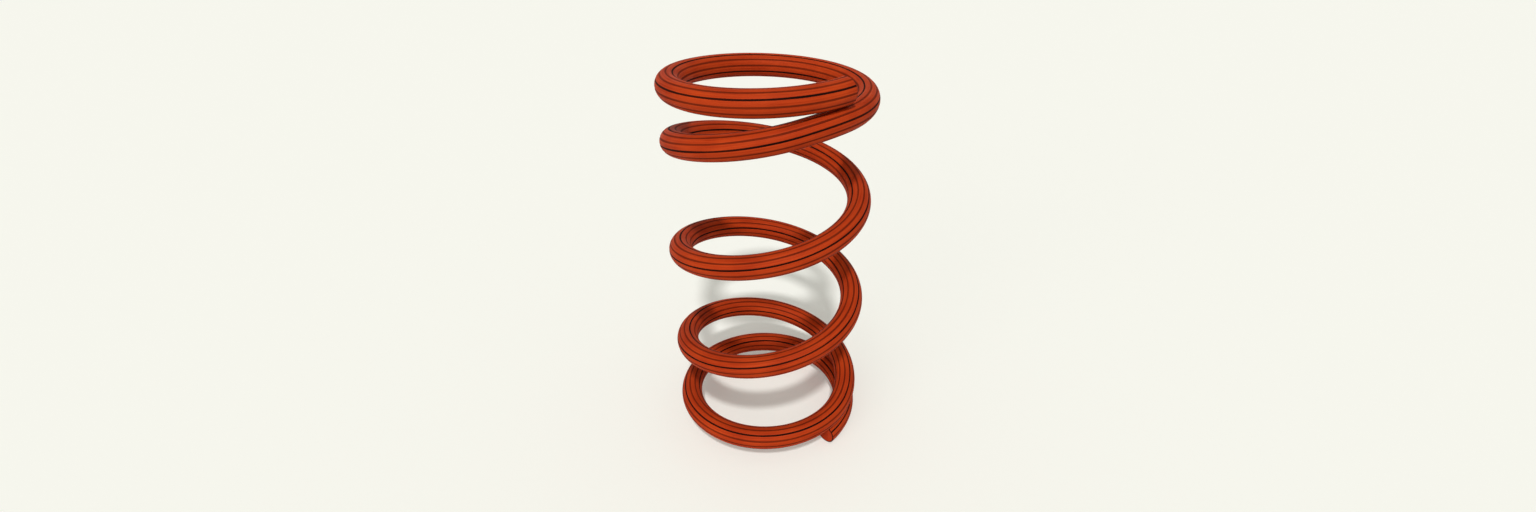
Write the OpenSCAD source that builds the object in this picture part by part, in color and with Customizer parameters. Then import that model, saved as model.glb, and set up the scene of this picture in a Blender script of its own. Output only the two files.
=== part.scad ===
// Small helical compression spring, wound right-handed from round wire.
// Each end is closed: its last turn lies against its neighbour and is not ground,
// so the square-cut wire end stays a full round.
// It stands on its lower end, with its axis on Z and z = 0 under the wire.

/* [Coil] */
// Outside diameter over the turns
outside_d = 3.5; // [2.2:0.1:6]
// Height of the unloaded spring over both wire ends
free_length = 7; // [5:0.1:14]
// Turns between the closed ends, which do the springing
active_turns = 3; // [2:0.25:4.5]
// Closed turns at each end
closed_turns = 1; // [0.75:0.25:1.5]
// Way in which the turns climb
hand = "right"; // [right, left]

/* [Wire] */
// Diameter of the round wire
wire_d = 0.4; // [0.2:0.02:0.7]

/* [Ends] */
// Gap left between a closed turn and the turn beside it
closed_gap = 0.006; // [0.002:0.002:0.05]
// Share of a turn over which the closed pitch opens into the active pitch
pitch_change = 0.08; // [0.02:0.02:0.3]

/* [Smoothness] */
// Sides of the wire's section
wire_sides = 20; // [12:4:28]
// Wire sections drawn in each turn
sections_per_turn = 44; // [24:4:60]

/* [Hidden] */

wire_colour = "#B83C1A";

// The wire's centre line
mean_r = (outside_d - wire_d) / 2;
total_turns = active_turns + 2 * closed_turns;
closed_pitch = wire_d + closed_gap;

// Middle of each stretch where the pitch changes, in turns from the lower wire end.
// Both lie within the active turns, so that a closed turn is closed all the way.
lower_bend = closed_turns + pitch_change / 2;
upper_bend = closed_turns + active_turns - pitch_change / 2;
active_pitch = closed_pitch
    + (free_length - wire_d - closed_pitch * total_turns) / (upper_bend - lower_bend);

// +1 winds the wire anticlockwise as it climbs, which makes a right-hand coil
turning = hand == "right" ? 1 : -1;

last_section = round(total_turns * sections_per_turn);

// Part of the way through a bend, 0 before it and 1 after it
function through(turn, bend) = min(1, max(0, (turn - bend) / pitch_change + 0.5));

// Turns gone by since a bend, with its rounded start
function since(turn, bend) =
    pitch_change * pow(through(turn, bend), 2) / 2
    + max(0, turn - bend - pitch_change / 2);

// Height of the wire's centre, and its rise per turn there
function centre_z(turn) =
    wire_d / 2
    + closed_pitch * turn
    + (active_pitch - closed_pitch) * (since(turn, lower_bend) - since(turn, upper_bend));

function pitch_at(turn) =
    closed_pitch
    + (active_pitch - closed_pitch) * (through(turn, lower_bend) - through(turn, upper_bend));

// Away from the spring's axis, and along the wire
function outward(turn) = [cos(360 * turning * turn), sin(360 * turning * turn), 0];

function centre(turn) = mean_r * outward(turn) + [0, 0, centre_z(turn)];

function along(turn) =
    let (
        round_step = 2 * PI * mean_r * turning,
        step = [
            -round_step * sin(360 * turning * turn),
            round_step * cos(360 * turning * turn),
            pitch_at(turn)
        ]
    )
    step / norm(step);

// One section of the wire, square to its centre line
function section(turn) =
    let (
        out = outward(turn),
        side = cross(along(turn), out)
    )
    [
        for (i = [0 : wire_sides - 1])
            let (a = 360 * i / wire_sides)
            centre(turn) + wire_d / 2 * (cos(a) * out + sin(a) * side)
    ];

// Number of a point of the wire's skin
function at(s, i) = s * wire_sides + i % wire_sides;

module coil_spring() {
    skin = [
        for (s = [0 : last_section])
            each section(total_turns * s / last_section)
    ];
    // Each patch between two sections is two triangles
    walls = [
        for (s = [0 : last_section - 1], i = [0 : wire_sides - 1])
            each [
                [at(s, i), at(s + 1, i), at(s + 1, i + 1)],
                [at(s, i), at(s + 1, i + 1), at(s, i + 1)]
            ]
    ];
    lower_cut = [for (i = [0 : wire_sides - 1]) at(0, i)];
    upper_cut = [for (i = [0 : wire_sides - 1]) at(last_section, wire_sides - 1 - i)];
    color(wire_colour)
        polyhedron(points = skin, faces = concat([lower_cut], walls, [upper_cut]), convexity = 12);
}

coil_spring();
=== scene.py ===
import math

import bmesh
import bpy
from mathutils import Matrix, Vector


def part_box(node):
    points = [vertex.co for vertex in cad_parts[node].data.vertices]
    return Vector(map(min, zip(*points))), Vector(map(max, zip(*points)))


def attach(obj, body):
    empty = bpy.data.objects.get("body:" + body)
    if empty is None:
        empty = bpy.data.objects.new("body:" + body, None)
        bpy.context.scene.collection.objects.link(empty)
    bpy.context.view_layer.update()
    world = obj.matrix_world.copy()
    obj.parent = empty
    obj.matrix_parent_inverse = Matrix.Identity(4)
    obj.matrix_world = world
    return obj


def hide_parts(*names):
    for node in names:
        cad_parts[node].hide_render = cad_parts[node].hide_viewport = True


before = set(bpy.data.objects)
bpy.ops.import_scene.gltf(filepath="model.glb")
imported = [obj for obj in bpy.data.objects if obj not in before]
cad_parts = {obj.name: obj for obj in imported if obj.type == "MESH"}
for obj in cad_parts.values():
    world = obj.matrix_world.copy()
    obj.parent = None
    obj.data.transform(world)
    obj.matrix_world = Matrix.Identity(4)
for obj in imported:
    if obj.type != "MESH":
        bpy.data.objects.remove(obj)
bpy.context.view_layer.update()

# The spring is one length of round spring steel wire, coiled right-handed round an arbor.
# A pitch tool opens the middle turns and leaves the last turn of each end closed on its
# neighbour, and a cutter shears the wire off square. Nothing is ground.
MM = 0.001
low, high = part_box("coil_spring")
outside_d = high.x - low.x
free_length = high.z - low.z
wire_d = 0.4 * MM
closed_gap = 0.006 * MM
closed_turns = 1
active_turns = 3
pitch_change = 0.08

wire_r = wire_d / 2
girth = math.pi * wire_d
mean_r = outside_d / 2 - wire_r
total_turns = active_turns + 2 * closed_turns
wire_length = total_turns * math.tau * mean_r
closed_pitch = wire_d + closed_gap

# Middle of each stretch where the pitch changes, in turns from the lower wire end. Both lie
# within the active turns.
lower_bend = closed_turns + pitch_change / 2
upper_bend = closed_turns + active_turns - pitch_change / 2
spare_height = free_length - wire_d - closed_pitch * total_turns
active_pitch = closed_pitch + spare_height / (upper_bend - lower_bend)

# Twelve fine lines run along the wire, where the die that drew it was scored. Wire that is
# coiled without a twist rolls on its own axis by its climb over the coil's radius, so that
# its lines creep round it. The feed rolls add a little.
DRAW_LINES = 12
SIDES_PER_LINE = 6
SECTIONS_PER_TURN = 180
line_depth = 0.004 * MM
first_line = math.radians(40)
feed_roll = 1.07


def through(turn, bend):
    """Part of the way through a change of pitch, 0 before it and 1 after it."""
    return min(1, max(0, (turn - bend) / pitch_change + 0.5))


def since(turn, bend):
    """Turns wound since a change of pitch, with its rounded start."""
    return pitch_change * through(turn, bend) ** 2 / 2 + max(0, turn - bend - pitch_change / 2)


def climbed(turn):
    """Height that the wire's centre has climbed from the lower end."""
    opened = since(turn, lower_bend) - since(turn, upper_bend)
    return closed_pitch * turn + (active_pitch - closed_pitch) * opened


def pitch_at(turn):
    """Height that a full turn climbs at the wire's slope there."""
    opened = through(turn, lower_bend) - through(turn, upper_bend)
    return closed_pitch + (active_pitch - closed_pitch) * opened


def coiled(around, turn, radius):
    """Where a point of the straight wire's skin comes to lie on the coil."""
    outward = Vector((math.cos(math.tau * turn), math.sin(math.tau * turn), 0))
    onward = Vector((0, 0, 1)).cross(outward)
    along = (math.tau * mean_r * onward + Vector((0, 0, pitch_at(turn)))).normalized()
    upward = outward.cross(along)
    angle = math.tau * around + first_line + feed_roll * climbed(turn) / mean_r
    centre = mean_r * outward + Vector((0, 0, low.z + wire_r + climbed(turn)))
    return centre + radius * (math.cos(angle) * outward + math.sin(angle) * upward)


# The skin starts as a flat grid, as wide as the wire's girth. It is rolled up and coiled,
# and keeps its map: once round the wire in U, and from end to end in V. The pinch of the
# cutter closes the draw lines at the very ends.
wire = bmesh.new()
wire.loops.layers.uv.new("wire_map")
sides = DRAW_LINES * SIDES_PER_LINE
bmesh.ops.create_grid(
    wire, x_segments=sides, y_segments=total_turns * SECTIONS_PER_TURN, size=0.5, calc_uvs=True,
)
for vert in wire.verts:
    around, turn = vert.co.x + 0.5, (vert.co.y + 0.5) * total_turns
    pinched = min(turn, total_turns - turn) < 0.5 / SECTIONS_PER_TURN
    scored = round(around * sides) % SIDES_PER_LINE == 0 and not pinched
    vert.co = coiled(around, turn, wire_r - line_depth if scored else wire_r)
seam_weld = 0.001 * MM
bmesh.ops.remove_doubles(wire, verts=wire.verts, dist=seam_weld)

# The cutter leaves a flat face at each end, with its sharp edge just broken
edge_break = 0.012 * MM
cut_ends = bmesh.ops.holes_fill(wire, edges=wire.edges, sides=sides)["faces"]
bmesh.ops.recalc_face_normals(wire, faces=wire.faces)
for face in wire.faces:
    face.smooth = True
for face in cut_ends:
    face.smooth = False
    face.material_index = 1
rim = bmesh.ops.bevel(
    wire, geom=[edge for face in cut_ends for edge in face.edges], offset=edge_break,
    affect="EDGES", segments=3, profile=0.5, material=-1,
)["faces"]
for face in rim:
    face.smooth = True
    face.material_index = 1

skin = bpy.data.meshes.new("coiled_wire")
wire.to_mesh(skin)
wire.free()
coil = bpy.data.objects.new("coiled_wire", skin)
bpy.context.collection.objects.link(coil)
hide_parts("coil_spring")
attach(coil, "root")


# The finish is stoving enamel, dipped and baked: an even orange-red film with a satin face.
# A faint orange peel breaks up its shine, fine streaks of the drawn steel show through it,
# and the draw lines stay dark, because it runs thin over their edges.
def linear(hex_colour):
    """An sRGB hex colour as the linear one that the shaders take."""
    parts = [int(hex_colour[i : i + 2], 16) / 255 for i in (1, 3, 5)]
    return [c / 12.92 if c <= 0.04045 else ((c + 0.055) / 1.055) ** 2.4 for c in parts] + [1]


def add_node(tree, kind, settings=(), inputs=()):
    """Adds a node, sets its own settings, and sets or links its inputs by name or number."""
    made = tree.nodes.new(kind)
    for name, value in dict(settings).items():
        setattr(made, name, value)
    for name, value in dict(inputs).items():
        if isinstance(value, bpy.types.NodeSocket):
            tree.links.new(value, made.inputs[name])
        else:
            made.inputs[name].default_value = value
    return made


enamel = bpy.data.materials.new("stoving_enamel")
enamel.use_nodes = True
tree = enamel.node_tree
tree.nodes.clear()

# Places in millimetres: in space, and on the wire, round it in X and along it in Y
coords = add_node(tree, "ShaderNodeTexCoord")
space = add_node(tree, "ShaderNodeMapping", inputs={
    "Vector": coords.outputs["Object"], "Scale": (1 / MM, 1 / MM, 1 / MM),
})
wire_map = add_node(tree, "ShaderNodeUVMap", {"uv_map": "wire_map"})
on_wire = add_node(tree, "ShaderNodeMapping", inputs={
    "Vector": wire_map.outputs["UV"], "Scale": (girth / MM, wire_length / MM, 1),
})
place = add_node(tree, "ShaderNodeSeparateXYZ", inputs={"Vector": on_wire.outputs["Vector"]})

# Fine streaks along the wire, in which the drawn steel shows through the film. Real ones are
# finer: these are as wide as they need to be to show.
streak_width, streak_length = 0.02, 0.8
drawn = add_node(tree, "ShaderNodeMapping", inputs={
    "Vector": on_wire.outputs["Vector"], "Scale": (1 / streak_width, 1 / streak_length, 1),
})
streak = add_node(tree, "ShaderNodeTexNoise", inputs={
    "Vector": drawn.outputs["Vector"], "Scale": 1, "Detail": 3,
})

# The nearest draw line, counted round the wire, and how much of it covers a point: all of it
# in its core, and ever less out to its edge. The streaks fray it a little.
line_spacing = girth / DRAW_LINES / MM
line_width = 0.039
half_core, half_edge = 0.3 * line_width, 0.46 * line_width
fray = 0.1
lines_round = add_node(tree, "ShaderNodeMath", {"operation": "DIVIDE"}, {
    0: place.outputs["X"], 1: line_spacing,
})
off_line = add_node(tree, "ShaderNodeMath", {"operation": "PINGPONG"}, {
    0: lines_round.outputs[0], 1: 0.5,
})
frayed = add_node(tree, "ShaderNodeMath", {"operation": "MULTIPLY_ADD"}, {
    0: streak.outputs["Fac"], 1: fray, 2: off_line.outputs[0],
})
on_line = add_node(tree, "ShaderNodeMapRange", {"interpolation_type": "SMOOTHSTEP"}, {
    "Value": frayed.outputs[0],
    "From Min": fray / 2 + half_edge / line_spacing,
    "From Max": fray / 2 + half_core / line_spacing,
})
nearest = add_node(tree, "ShaderNodeMath", {"operation": "ROUND"}, {0: lines_round.outputs[0]})
line = add_node(tree, "ShaderNodeMath", {"operation": "MODULO"}, {
    0: nearest.outputs[0], 1: DRAW_LINES,
})

# Every third line is a strong one. Each fades a little every few millimetres, in a run of
# noise that lies well apart from the other lines' runs.
strong_every = 3
faint_strength, faded_strength = 0.66, 0.88
fade_length = 2.5
run_spacing = 4 * fade_length
noise_low, noise_high = 0.3, 0.7
unfaded_from = 0.55
after_strong = add_node(tree, "ShaderNodeMath", {"operation": "MODULO"}, {
    0: line.outputs[0], 1: strong_every,
})
faint = add_node(tree, "ShaderNodeMath", {"operation": "GREATER_THAN"}, {
    0: after_strong.outputs[0], 1: 0.5,
})
line_strength = add_node(tree, "ShaderNodeMapRange", inputs={
    "Value": faint.outputs[0], "To Min": 1, "To Max": faint_strength,
})
apart = add_node(tree, "ShaderNodeMath", {"operation": "MULTIPLY"}, {
    0: line.outputs[0], 1: run_spacing,
})
line_run = add_node(tree, "ShaderNodeCombineXYZ", inputs={
    "X": apart.outputs[0], "Y": place.outputs["Y"],
})
scoring = add_node(tree, "ShaderNodeTexNoise", inputs={
    "Vector": line_run.outputs["Vector"], "Scale": 1 / fade_length, "Detail": 2,
})
fade = add_node(tree, "ShaderNodeMapRange", inputs={
    "Value": scoring.outputs["Fac"], "From Min": noise_low, "From Max": unfaded_from,
    "To Min": faded_strength, "To Max": 1,
})
line_shade = add_node(tree, "ShaderNodeMath", {"operation": "MULTIPLY"}, {
    0: on_line.outputs[0], 1: line_strength.outputs[0],
})
line_shade = add_node(tree, "ShaderNodeMath", {"operation": "MULTIPLY"}, {
    0: line_shade.outputs[0], 1: fade.outputs[0],
})

# The film's colour drifts over half a millimetre, and the streaks show in it. Where it runs
# thin over an edge it is nearly black.
drift_size, streak_share = 0.5, 0.6
thin_film, full_film = linear("#98290B"), linear("#BF4216")
edge_film = linear("#120402")
cloud = add_node(tree, "ShaderNodeTexNoise", inputs={
    "Vector": space.outputs["Vector"], "Scale": 1 / drift_size, "Detail": 3,
})
tone = add_node(tree, "ShaderNodeMix", {"data_type": "FLOAT"}, {
    0: streak_share, 2: cloud.outputs["Fac"], 3: streak.outputs["Fac"],
})
thickness = add_node(tree, "ShaderNodeMapRange", inputs={
    "Value": tone.outputs[0], "From Min": noise_low, "From Max": noise_high,
})
film = add_node(tree, "ShaderNodeMix", {"data_type": "RGBA"}, {
    0: thickness.outputs[0], 6: thin_film, 7: full_film,
})
colour = add_node(tree, "ShaderNodeMix", {"data_type": "RGBA"}, {
    0: line_shade.outputs[0], 6: film.outputs[2], 7: edge_film,
})

# Orange peel, and the streaks as a slighter relief, as heights in millimetres
peel_size, peel_height, streak_height = 0.06, 0.003, 0.0006
peel = add_node(tree, "ShaderNodeTexNoise", inputs={
    "Vector": space.outputs["Vector"], "Scale": 1 / peel_size, "Detail": 1,
})
peel_relief = add_node(tree, "ShaderNodeMath", {"operation": "MULTIPLY"}, {
    0: peel.outputs["Fac"], 1: peel_height,
})
height = add_node(tree, "ShaderNodeMath", {"operation": "MULTIPLY_ADD"}, {
    0: streak.outputs["Fac"], 1: streak_height, 2: peel_relief.outputs[0],
})
relief = add_node(tree, "ShaderNodeBump", inputs={"Height": height.outputs[0], "Distance": MM})

# Satin with hardly a highlight: a little duller where the film is thin, and dull in the lines
thin_roughness, full_roughness, line_roughness = 0.66, 0.52, 0.8
enamel_specular = 0.05
satin = add_node(tree, "ShaderNodeMapRange", inputs={
    "Value": thickness.outputs[0], "To Min": thin_roughness, "To Max": full_roughness,
})
roughness = add_node(tree, "ShaderNodeMix", {"data_type": "FLOAT"}, {
    0: line_shade.outputs[0], 2: satin.outputs[0], 3: line_roughness,
})
shader = add_node(tree, "ShaderNodeBsdfPrincipled", inputs={
    "Base Color": colour.outputs[2], "Roughness": roughness.outputs[0],
    "Specular IOR Level": enamel_specular, "Normal": relief.outputs["Normal"],
})
add_node(tree, "ShaderNodeOutputMaterial", inputs={"Surface": shader.outputs["BSDF"]})
coil.data.materials.append(enamel)

# The sheared ends carry the same enamel, which has run thin and dark over their sharp rim.
# The cutter comes from outside: it leaves a smooth band there, and past it the steel tears
# in ragged streaks.
sheared = bpy.data.materials.new("enamelled_cut")
sheared.use_nodes = True
tree = sheared.node_tree
tree.nodes.clear()

# How far a point is from the middle of its wire end, and how dark that leaves it. The two ends
# lie alike about mid-height.
rim_inside, rim_outside = wire_r - 2.5 * edge_break, wire_r - edge_break
rim_strength = 0.9
coords = add_node(tree, "ShaderNodeTexCoord")
centred = add_node(tree, "ShaderNodeMapping", inputs={
    "Vector": coords.outputs["Object"], "Scale": (1 / MM, 1 / MM, 1 / MM),
    "Location": (-mean_r / MM, 0, -(low.z + high.z) / 2 / MM),
})
end_place = add_node(tree, "ShaderNodeSeparateXYZ", inputs={"Vector": centred.outputs["Vector"]})
from_middle = add_node(tree, "ShaderNodeMath", {"operation": "ABSOLUTE"}, {
    0: end_place.outputs["Z"],
})
rise = add_node(tree, "ShaderNodeMath", {"operation": "SUBTRACT"}, {
    0: from_middle.outputs[0], 1: (free_length - wire_d) / 2 / MM,
})
across_end = add_node(tree, "ShaderNodeCombineXYZ", inputs={
    "X": end_place.outputs["X"], "Z": rise.outputs[0],
})
from_centre = add_node(tree, "ShaderNodeVectorMath", {"operation": "LENGTH"}, {
    0: across_end.outputs["Vector"],
})
rim_shade = add_node(tree, "ShaderNodeMapRange", {"interpolation_type": "SMOOTHSTEP"}, {
    "Value": from_centre.outputs["Value"],
    "From Min": rim_inside / MM, "From Max": rim_outside / MM, "To Max": rim_strength,
})

# Tear marks, drawn out in the cutter's direction, from the smooth band inwards. The band ends
# a little outside the middle of the wire.
band_end, tear_start = 0.09, 0.06
tear_length, tear_width, tear_height = 0.12, 0.02, 0.006
band_film, torn_film = linear("#AE3510"), linear("#90280C")
band_roughness, torn_roughness = 0.6, 0.75
torn = add_node(tree, "ShaderNodeMapRange", {"interpolation_type": "SMOOTHSTEP"}, {
    "Value": end_place.outputs["X"], "From Min": band_end, "From Max": tear_start,
})
drag = add_node(tree, "ShaderNodeMapping", inputs={
    "Vector": across_end.outputs["Vector"], "Scale": (1 / tear_length, 1, 1 / tear_width),
})
tear = add_node(tree, "ShaderNodeTexNoise", inputs={
    "Vector": drag.outputs["Vector"], "Scale": 1, "Detail": 3,
})
tearing = add_node(tree, "ShaderNodeMath", {"operation": "MULTIPLY"}, {
    0: tear.outputs["Fac"], 1: torn.outputs[0],
})
film = add_node(tree, "ShaderNodeMix", {"data_type": "RGBA"}, {
    0: tearing.outputs[0], 6: band_film, 7: torn_film,
})
colour = add_node(tree, "ShaderNodeMix", {"data_type": "RGBA"}, {
    0: rim_shade.outputs[0], 6: film.outputs[2], 7: edge_film,
})
tear_relief = add_node(tree, "ShaderNodeMath", {"operation": "MULTIPLY"}, {
    0: tearing.outputs[0], 1: tear_height,
})
relief = add_node(tree, "ShaderNodeBump", inputs={
    "Height": tear_relief.outputs[0], "Distance": MM,
})
roughness = add_node(tree, "ShaderNodeMapRange", inputs={
    "Value": torn.outputs[0], "To Min": band_roughness, "To Max": torn_roughness,
})
shader = add_node(tree, "ShaderNodeBsdfPrincipled", inputs={
    "Base Color": colour.outputs[2], "Roughness": roughness.outputs[0],
    "Specular IOR Level": enamel_specular, "Normal": relief.outputs["Normal"],
})
add_node(tree, "ShaderNodeOutputMaterial", inputs={"Surface": shader.outputs["BSDF"]})
coil.data.materials.append(sheared)

# The floor is plain pale card, far wider than the spring, which stands on it. It takes the
# shadow, and a faint glow lifts it only where it is seen, so that it lights nothing.
floor_r = 600 * MM
floor_card, off_white = linear("#E8E8E2"), linear("#FFFFF7")
floor_glow = 0.2
floor_form = bmesh.new()
bmesh.ops.create_circle(floor_form, cap_ends=True, segments=96, radius=floor_r)
bmesh.ops.translate(floor_form, verts=floor_form.verts, vec=(0, 0, low.z))
floor_mesh = bpy.data.meshes.new("floor")
floor_form.to_mesh(floor_mesh)
floor_form.free()
floor = bpy.data.objects.new("floor", floor_mesh)
bpy.context.collection.objects.link(floor)


def pale_when_seen(tree):
    """1 where the camera, a reflection or a view through glass sees the surface, 0 for its light."""
    path = add_node(tree, "ShaderNodeLightPath")
    seen = add_node(tree, "ShaderNodeMath", {"operation": "MAXIMUM"}, {
        0: path.outputs["Is Camera Ray"], 1: path.outputs["Is Glossy Ray"],
    })
    seen = add_node(tree, "ShaderNodeMath", {"operation": "MAXIMUM"}, {
        0: seen.outputs[0], 1: path.outputs["Is Transmission Ray"],
    })
    return seen.outputs[0]


paper = bpy.data.materials.new("pale_floor")
paper.use_nodes = True
tree = paper.node_tree
tree.nodes.clear()
matt = add_node(tree, "ShaderNodeBsdfDiffuse", inputs={"Color": floor_card})
lift = add_node(tree, "ShaderNodeMath", {"operation": "MULTIPLY"}, {
    0: pale_when_seen(tree), 1: floor_glow,
})
glow = add_node(tree, "ShaderNodeEmission", inputs={
    "Color": off_white, "Strength": lift.outputs[0],
})
look = add_node(tree, "ShaderNodeAddShader", inputs={
    0: matt.outputs["BSDF"], 1: glow.outputs["Emission"],
})
add_node(tree, "ShaderNodeOutputMaterial", inputs={"Surface": look.outputs["Shader"]})
floor.data.materials.append(paper)

# Light: a key lamp high on the camera's side, a broad and weaker one low to the left of it,
# and an even fill from all round
for name, strength, spread, way_to in (
    ("key_lamp", 1.8, 4, Vector((1, -1, 2))),
    ("side_lamp", 0.87, 45, Vector((1, -5.7, 1.45))),
):
    lamp_data = bpy.data.lights.new(name, "SUN")
    lamp_data.energy = strength
    lamp_data.angle = math.radians(spread)
    lamp = bpy.data.objects.new(name, lamp_data)
    lamp.rotation_euler = way_to.to_track_quat("Z", "Y").to_euler()
    bpy.context.collection.objects.link(lamp)

fill_strength, backdrop_strength = 0.36, 0.94
world = bpy.data.worlds.new("studio")
world.use_nodes = True
tree = world.node_tree
tree.nodes.clear()
level = add_node(tree, "ShaderNodeMapRange", inputs={
    "Value": pale_when_seen(tree), "To Min": fill_strength, "To Max": backdrop_strength,
})
fill = add_node(tree, "ShaderNodeBackground", inputs={
    "Color": off_white, "Strength": level.outputs[0],
})
add_node(tree, "ShaderNodeOutputWorld", inputs={"Surface": fill.outputs["Background"]})
bpy.context.scene.world = world
bpy.context.scene.view_settings.view_transform = "Standard"

# The camera stands where the left-hand view was taken from, and looks at the coil's middle
camera_data = bpy.data.cameras.new("camera")
camera_data.sensor_width = 36
camera_data.lens = 14.485
camera_data.clip_start = 0.1 * MM
camera_data.clip_end = 2
camera = bpy.data.objects.new("camera", camera_data)
azimuth, elevation = math.radians(45), math.radians(30)
distance = 11.197 * MM
aim = Vector((0, 0, 3.506 * MM))
back = Vector((
    math.sin(azimuth) * math.cos(elevation),
    -math.cos(azimuth) * math.cos(elevation),
    math.sin(elevation),
))
camera.location = aim + distance * back
camera.rotation_euler = back.to_track_quat("Z", "Y").to_euler()
bpy.context.collection.objects.link(camera)
bpy.context.scene.camera = camera
